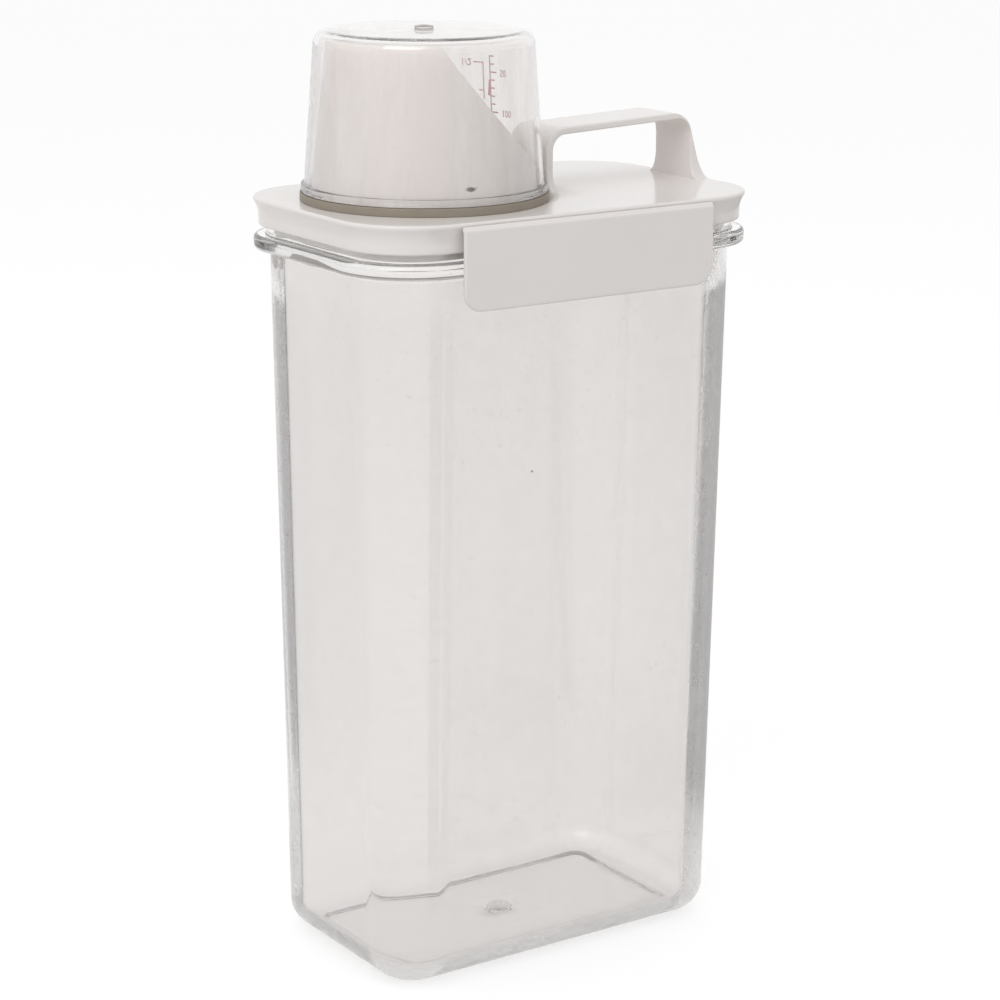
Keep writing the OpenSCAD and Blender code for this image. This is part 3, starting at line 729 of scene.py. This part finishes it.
def handle_shape():
    """A strap carried up the leg by the cup, along the top and down the end leg: an outer and an inner side
    curve of lines and arcs, with a rounded section between them whose half width spreads near the lid
    along a quarter of an ellipse."""
    root = LID_TOP - PLATE_T / 2
    spread = (FOOT_SPREAD - HANDLE_W) / 2
    rise = LID_TOP + 2 * spread * (1 - np.cos(np.radians(np.linspace(0, 90, 10))))
    rise = np.concatenate([[root], rise])
    climb = HANDLE_CLIMB
    angle = math.atan(climb)
    lean = math.tan(END_LEAN)
    left_top = LID_TOP + HANDLE_H
    right_x = (END_X - lean * (left_top - climb * LEG_X - LID_TOP)) / (1 + lean * climb)
    right_top = left_top + climb * (right_x - LEG_X)
    turn = math.pi / 2 + angle - END_LEAN
    run = BEND_R * math.tan(turn / 2)
    bend_x = right_x - run * math.cos(angle) + BEND_R * math.sin(angle)
    bend_z = right_top - run * math.sin(angle) - BEND_R * math.cos(angle)
    left_z = left_top + climb * BEND_R - BEND_R / math.cos(angle)
    gap_l = LEG_X + LEG_T
    gap_r = END_X - END_FOOT_T
    in_left_z = left_top + climb * (LEG_T + BEND_IN_R) - STRAP_T - BEND_IN_R
    in_right_z = left_top + climb * (gap_r - LEG_X) - STRAP_T - BEND_IN_R
    along = np.array([0.03, 0.12, 0.3, 0.5, 0.7, 0.88, 0.97])[:, None]
    degrees = math.degrees(angle)
    out_left = bend(LEG_X + BEND_R, left_z, BEND_R, 180, 90 + degrees, 12)
    out_right = bend(bend_x, bend_z, BEND_R, 90 + degrees, 90 + degrees - math.degrees(turn), 12)
    in_left = bend(gap_l + BEND_IN_R, in_left_z, BEND_IN_R, 180, 90, 12)
    in_right = bend(gap_r - BEND_IN_R, in_right_z, BEND_IN_R, 90, 0, 12)
    fall = rise[::-1]
    lean_x = END_X - lean * np.clip(fall - LID_TOP, 0, None)
    outer = np.vstack([
        np.stack([np.full_like(rise, LEG_X), rise], -1),
        [[LEG_X, (rise[-1] + left_z) / 2]],
        out_left, out_left[-1] + (out_right[0] - out_left[-1]) * along, out_right,
        [[END_X - lean * (bend_z - 1.5 - LID_TOP), bend_z - 1.5]],
        np.stack([lean_x, fall], -1)])
    inner = np.vstack([
        np.stack([np.full_like(rise, gap_l), rise], -1),
        [[gap_l, (rise[-1] + in_left_z) / 2]],
        in_left, in_left[-1] + (in_right[0] - in_left[-1]) * along, in_right,
        [[gap_r, in_right_z - 1.5]],
        np.stack([np.full_like(fall, gap_r), fall], -1)])
    level = np.clip((LID_TOP + 2 * spread - (outer[:, 1] + inner[:, 1]) / 2) / (2 * spread), 0, 1)
    half_w = HANDLE_W / 2 + spread * (1 - np.sqrt(1 - level ** 2))
    across = inner - outer
    thick = np.linalg.norm(across, axis=1)
    ring = round_ring(thick / 2, half_w, 0.75)
    mid = (outer + inner) / 2
    side = across / thick[:, None]
    flat = mid[:, None] + side[:, None] * ring[..., :1]
    grid = np.stack([flat[..., 0], ring[..., 1], flat[..., 1]], -1)
    return skin("strap_handle", [grid], WHITE_PP)


# Printed scale on the cup

INK_T = 0.05
INK_LIFT = 0.02
LINE_W = 0.42


def ink_r(z):
    """Radius of the cup's outside, where the print lies."""
    return cup_r(z) + CUP_WALL + INK_LIFT


def on_cup(angle, z, lift):
    """Points on the cup's outside at an angle in radians and a height, lifted off it."""
    r = ink_r(z) + lift
    return np.stack([SPOUT_X + r * np.cos(angle), r * np.sin(angle), z], -1)


def ink_stroke(start, stop, width=(LINE_W, LINE_W)):
    """A thin printed stroke from one (degrees, height) to another: four corners carried along it, half the
    width to each side on the cup's face, and the ink's thickness off it."""
    share = np.linspace(0, 1, 9)[:, None]
    from_deg, from_z = start
    to_deg, to_z = stop
    angle = np.radians(from_deg + (to_deg - from_deg) * share)
    z = from_z + (to_z - from_z) * share
    r = ink_r(z)
    run = np.array([math.radians(to_deg - from_deg) * float(r[0, 0]), to_z - from_z])
    run = run / np.linalg.norm(run)
    half = np.interp(share[:, 0], [0, 1], width)[:, None] / 2 * np.array([-1, 1, 1, -1])
    lift = np.broadcast_to(np.array([0, 0, INK_T, INK_T]), half.shape)
    return on_cup(angle - half * run[1] / r, z + half * run[0], lift)


# The main line and its ticks, and the side line and its two: degrees round the cup, and heights
MAIN_DEG = 19.0
SCALE_TOP = 293.3
SCALE_STEP = 2.6
MAIN_TICKS = [(k, SCALE_TOP - k * SCALE_STEP) for k in range(8)]
LONG_TICKS = (2, 7)
TICK_DEG = 3.0
LONG_TICK_DEG = 4.6
SIDE_DEG = 23.5
SIDE_TOP = 291.2
SIDE_END = 279.0
SIDE_HALF_Z = 291.0
SIDE_TICKS = ((SIDE_HALF_Z, 6.0), (282.0, 3.0))
POINTER_FROM = (MAIN_DEG + 0.6, 285.5)
POINTER_TO = (MAIN_DEG + 0.8, 280.5)
POINTER_W = (0.5, 1.5)
NUMBER_H = 3.2


def printed_scale():
    """The lines of the two scales: an upright line with ticks every ten millilitres and a second, short one;
    the last stroke, a pointer that widens downwards, is pinker."""
    strokes = [ink_stroke((MAIN_DEG, SCALE_TOP), (MAIN_DEG, MAIN_TICKS[-1][1]))]
    for k, z in MAIN_TICKS:
        reach = LONG_TICK_DEG if k in LONG_TICKS else TICK_DEG
        strokes.append(ink_stroke((MAIN_DEG, z), (MAIN_DEG - reach, z)))
    strokes.append(ink_stroke((SIDE_DEG, SIDE_TOP), (SIDE_DEG, SIDE_END)))
    for z, reach in SIDE_TICKS:
        strokes.append(ink_stroke((SIDE_DEG, z), (SIDE_DEG + reach, z)))
    strokes.append(ink_stroke(POINTER_FROM, POINTER_TO, POINTER_W))
    piece = skin("printed_scale", strokes, RED_INK)
    count = len(piece.data.polygons)
    paint(piece, PINK_INK, np.arange(count - count // len(strokes), count))
    return piece


def printed_number(name, words, degrees, z, size):
    """A number wrapped on the cup: its writing line runs towards smaller angles and its up is down the
    dispenser, so that it reads right when the cup is turned over."""
    curve = bpy.data.curves.new(name, "FONT")
    curve.body = words
    curve.size = size
    curve.align_x = "CENTER"
    curve.align_y = "CENTER"
    curve.extrude = INK_T / 2
    curve.offset = 0.03
    curve.resolution_u = 3
    text = bpy.data.objects.new(name + "_text", curve)
    bpy.context.scene.collection.objects.link(text)
    graph = bpy.context.evaluated_depsgraph_get()
    mesh = bpy.data.meshes.new_from_object(text.evaluated_get(graph))
    bpy.data.objects.remove(text)
    flat = np.zeros(len(mesh.vertices) * 3)
    mesh.vertices.foreach_get("co", flat)
    x, y, lift = flat.reshape(-1, 3).T
    height = z - y
    angle = math.radians(degrees) - x / ink_r(height)
    mesh.vertices.foreach_set("co", (on_cup(angle, height, lift + INK_T / 2) * MM).ravel())
    mesh.materials.clear()
    mesh.materials.append(RED_INK)
    mesh.update()
    piece = bpy.data.objects.new(name, mesh)
    bpy.context.scene.collection.objects.link(piece)
    return piece


# Pieces on their bodies

stand(container_shape(), "container", "container")
stand(lid_shell(), "lid", "lid")
stand(spout_shape(), "lid", "lid")
stand(handle_shape(), "lid", "lid")
stand(seal_shape(), "lid", "spout_seal")
stand(clip_shape("front_clip_plate", -1), "front_clip", "front_clip")
stand(clip_shape("back_clip_plate", 1), "back_clip", "back_clip")
stand(cup_shape(), "measuring_cup", "measuring_cup")
stand(printed_scale(), "measuring_cup")
for words, degrees, z in (("50", 9.5, MAIN_TICKS[2][1]), ("100", 8.0, MAIN_TICKS[7][1]),
                          ("1/2", 34.0, SIDE_HALF_Z)):
    number = printed_number("number_" + words.replace("/", "_"), words, degrees, z, NUMBER_H)
    stand(number, "measuring_cup")

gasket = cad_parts["lid_gasket"]
gasket.data.materials.clear()
gasket.data.materials.append(GASKET_SILICONE)

# Stage: a pale floor, a soft world and one large lamp

# The floor's own light, and the levels that the plastic mirrors of it, where 1 is white: plain, near the
# object, on the cup's side, at the back, in the front gap, on the handle's side, far off and beyond
FLOOR_LIFT = 0.38
MIRROR_PLAIN = 0.68
MIRROR_NEAR = 0.8
MIRROR_CUP_SIDE = 1.0
MIRROR_BACK = 1.0
MIRROR_GAP = 0.0
MIRROR_HANDLE = 0.48
MIRROR_FAR = 1.0
MIRROR_BEYOND = 0.85
# Distances from the object's middle, in metres, over which one level passes into the next
NEAR_EDGE = (0.09, 0.16)
FAR_EDGE = (1.15, 1.35)
BEYOND_EDGE = (1.5, 1.75)
GAP_END = (0.95, 1.05)
SHADE_START = (0.08, 0.17)
SHADE_END = (1.25, 1.29)
# Directions of the levels: degrees, and the cosines between which each fades in
CUP_SIDE_WAY = (200, 0.3, 0.7)
BACK_WAY = (92, 0.82, 0.93)
GAP_WAY = (-75, 0.9724, 0.980)
HANDLE_WAY = (0, 0.58, 0.72)
# The front corner on the cup's side, which the gap starts from
FRONT_CORNER = (-0.050, -0.026, 0.0)
# The room's light: level at the horizon and overhead, and its share on the cup's and the handle's side
ROOM_LEVEL = (0.50, 0.84)
ROOM_SIDES = (1.12, 0.88)
LAMP_PLACE = (-0.9, -0.55, 1.2)
LAMP_AIM = (0.0, 0.0, 0.15)
LAMP_SIZE = 0.9
LAMP_WATTS = 5.2
# The photograph's camera, from its straight edges and round rims: place and direction in metres, roll in
# degrees, and lens and film width in millimetres
PHOTO_EYE = (-0.50735, -0.74371, 0.38592)
PHOTO_LOOK = (0.5449, 0.7985, -0.2558)
PHOTO_ROLL = 0.29
PHOTO_LENS = 100.81
PHOTO_FILM = 36.0


def studio_floor():
    """A pale floor that keeps the object's shadow; a little of its own light lifts it to white. What the
    plastic mirrors of it differs by direction, as a room's sides do: white behind and on the
    cup's side, a dark gap to the front, and grey on the handle's side, which draws the clear edges."""
    material, tree, output, place = new_material("studio_floor_paper")
    grain = add(tree, "TexNoise", {"Vector": place, "Scale": per_m(3), "Detail": 2.0})
    path = add(tree, "LightPath")
    tone = add(tree, "Mix", {
        0: grain.outputs["Fac"], 6: srgb("#E7E7E7"), 7: srgb("#E9E9E9")}, data_type="RGBA")
    matt = add(tree, "BsdfDiffuse", {"Color": tone.outputs[2]})
    seen = add(tree, "Math", {0: path.outputs["Is Camera Ray"], 1: path.outputs["Is Transmission Ray"]},
               operation="MAXIMUM")
    lift = add(tree, "Math", {0: seen.outputs[0], 1: FLOOR_LIFT}, operation="MULTIPLY")
    glow = add(tree, "Emission", {"Color": (1, 1, 1, 1), "Strength": lift.outputs[0]})
    paper = add(tree, "AddShader", {0: matt.outputs[0], 1: glow.outputs[0]})
    away = add(tree, "VectorMath", {0: place}, operation="LENGTH").outputs["Value"]

    def lobe(degrees, low, high, start=(0.0, 0.0, 0.0)):
        """Share of the floor that lies in a direction from a start: 0 to 1 as the cosine of the angle to it
        goes from low to high."""
        way = (math.cos(math.radians(degrees)), math.sin(math.radians(degrees)), 0.0)
        run = add(tree, "VectorMath", {0: place, 1: start}, operation="SUBTRACT").outputs[0]
        towards = add(tree, "VectorMath", {0: run}, operation="NORMALIZE").outputs[0]
        along = add(tree, "VectorMath", {0: towards, 1: way}, operation="DOT_PRODUCT").outputs["Value"]
        return add(tree, "MapRange", {0: along, 1: low, 2: high, 3: 0.0, 4: 1.0}).outputs[0]

    def within(edge, rising):
        """0 to 1, or 1 to 0, as the distance from the object's middle crosses an edge."""
        ends = (0.0, 1.0) if rising else (1.0, 0.0)
        return add(tree, "MapRange", {0: away, 1: edge[0], 2: edge[1], 3: ends[0], 4: ends[1]}).outputs[0]

    def both_of(one, other):
        """The product of two shares: where one and the other hold."""
        return add(tree, "Math", {0: one, 1: other}, operation="MULTIPLY").outputs[0]

    ring = both_of(within(SHADE_START, True), within(SHADE_END, False))
    level = MIRROR_PLAIN
    for share, shown in (
            (within(FAR_EDGE, True), MIRROR_FAR),
            (lobe(*CUP_SIDE_WAY), MIRROR_CUP_SIDE),
            (both_of(lobe(*BACK_WAY), within(FAR_EDGE, False)), MIRROR_BACK),
            (within(BEYOND_EDGE, True), MIRROR_BEYOND),
            (both_of(lobe(*GAP_WAY, FRONT_CORNER), within(GAP_END, False)), MIRROR_GAP),
            (both_of(ring, lobe(*HANDLE_WAY)), MIRROR_HANDLE),
            (within(NEAR_EDGE, False), MIRROR_NEAR)):
        level = add(tree, "Mix", {0: share, 2: level, 3: shown}).outputs[0]
    mirrored = add(tree, "Emission", {"Color": (1, 1, 1, 1), "Strength": level})
    turned_ray = add(tree, "Math", {0: path.outputs["Glossy Depth"], 1: 0.5}, operation="GREATER_THAN")
    both = add(tree, "MixShader", {0: turned_ray.outputs[0], 1: paper.outputs[0], 2: mirrored.outputs[0]})
    tree.links.new(both.outputs[0], output.inputs["Surface"])
    reach = 6.0
    mesh = bpy.data.meshes.new("studio_floor")
    corners = [(-reach, -reach, 0), (reach, -reach, 0), (reach, reach, 0), (-reach, reach, 0)]
    mesh.from_pydata(corners, [], [(0, 1, 2, 3)])
    mesh.materials.append(material)
    floor = bpy.data.objects.new("studio_floor", mesh)
    floor.location.z = cad_low[2] - 0.0002
    bpy.context.scene.collection.objects.link(floor)


def studio_world():
    """A soft room, brighter overhead and on the cup's side; the camera, and what it sees through the clear
    plastic or mirrored in it, sees white."""
    world = bpy.data.worlds.new("studio_world")
    bpy.context.scene.world = world
    world.use_nodes = True
    tree = world.node_tree
    tree.nodes.clear()
    split = add(tree, "SeparateXYZ", {0: add(tree, "TexCoord").outputs["Generated"]})
    height = add(tree, "MapRange", {
        0: split.outputs["Z"], 1: 0.0, 2: 1.0, 3: ROOM_LEVEL[0], 4: ROOM_LEVEL[1]})
    across = add(tree, "MapRange", {
        0: split.outputs["X"], 1: -1.0, 2: 1.0, 3: ROOM_SIDES[0], 4: ROOM_SIDES[1]})
    soft = add(tree, "Math", {0: height.outputs[0], 1: across.outputs[0]}, operation="MULTIPLY")
    path = add(tree, "LightPath")
    shown = add(tree, "Math", {0: path.outputs["Is Transmission Ray"], 1: path.outputs["Is Glossy Ray"]},
                operation="MAXIMUM")
    clear = add(tree, "Math", {0: path.outputs["Is Camera Ray"], 1: shown.outputs[0]}, operation="MAXIMUM")
    level = add(tree, "Mix", {0: clear.outputs[0], 2: soft.outputs[0], 3: 1.0})
    light = add(tree, "Background", {"Color": (1, 1, 1, 1), "Strength": level.outputs[0]})
    add(tree, "OutputWorld", {"Surface": light.outputs[0]})


def studio_lamp(name, place, target, size, watts):
    """A large square soft lamp, aimed at a point."""
    light = bpy.data.lights.new(name, "AREA")
    light.size = size
    light.energy = watts
    lamp = bpy.data.objects.new(name, light)
    lamp.location = place
    lamp.rotation_euler = (Vector(target) - Vector(place)).to_track_quat("-Z", "Y").to_euler()
    bpy.context.scene.collection.objects.link(lamp)


def photo_camera():
    """The camera at the photograph's viewing angle: place, direction, roll and lens."""
    look = Vector(PHOTO_LOOK).normalized()
    roll = math.radians(PHOTO_ROLL)
    right = look.cross(Vector((0, 0, 1))).normalized()
    up = right.cross(look)
    level_right = right
    right = level_right * math.cos(roll) + up * math.sin(roll)
    up = up * math.cos(roll) - level_right * math.sin(roll)
    data = bpy.data.cameras.new("photo_camera")
    data.sensor_width = PHOTO_FILM
    data.lens = PHOTO_LENS
    data.clip_start = 0.05
    data.clip_end = 50.0
    camera = bpy.data.objects.new("photo_camera", data)
    turn = Matrix((right, up, -look)).transposed()
    camera.matrix_world = Matrix.Translation(Vector(PHOTO_EYE)) @ turn.to_4x4()
    bpy.context.scene.collection.objects.link(camera)
    bpy.context.scene.camera = camera


studio_floor()
studio_world()
studio_lamp("key_lamp", LAMP_PLACE, LAMP_AIM, LAMP_SIZE, LAMP_WATTS)
photo_camera()
bpy.context.scene.view_settings.view_transform = "Standard"
# Light takes many turns inside the clear plastic before it leaves
bpy.context.scene.cycles.max_bounces = 24
bpy.context.scene.cycles.glossy_bounces = 14
bpy.context.scene.cycles.transmission_bounces = 24
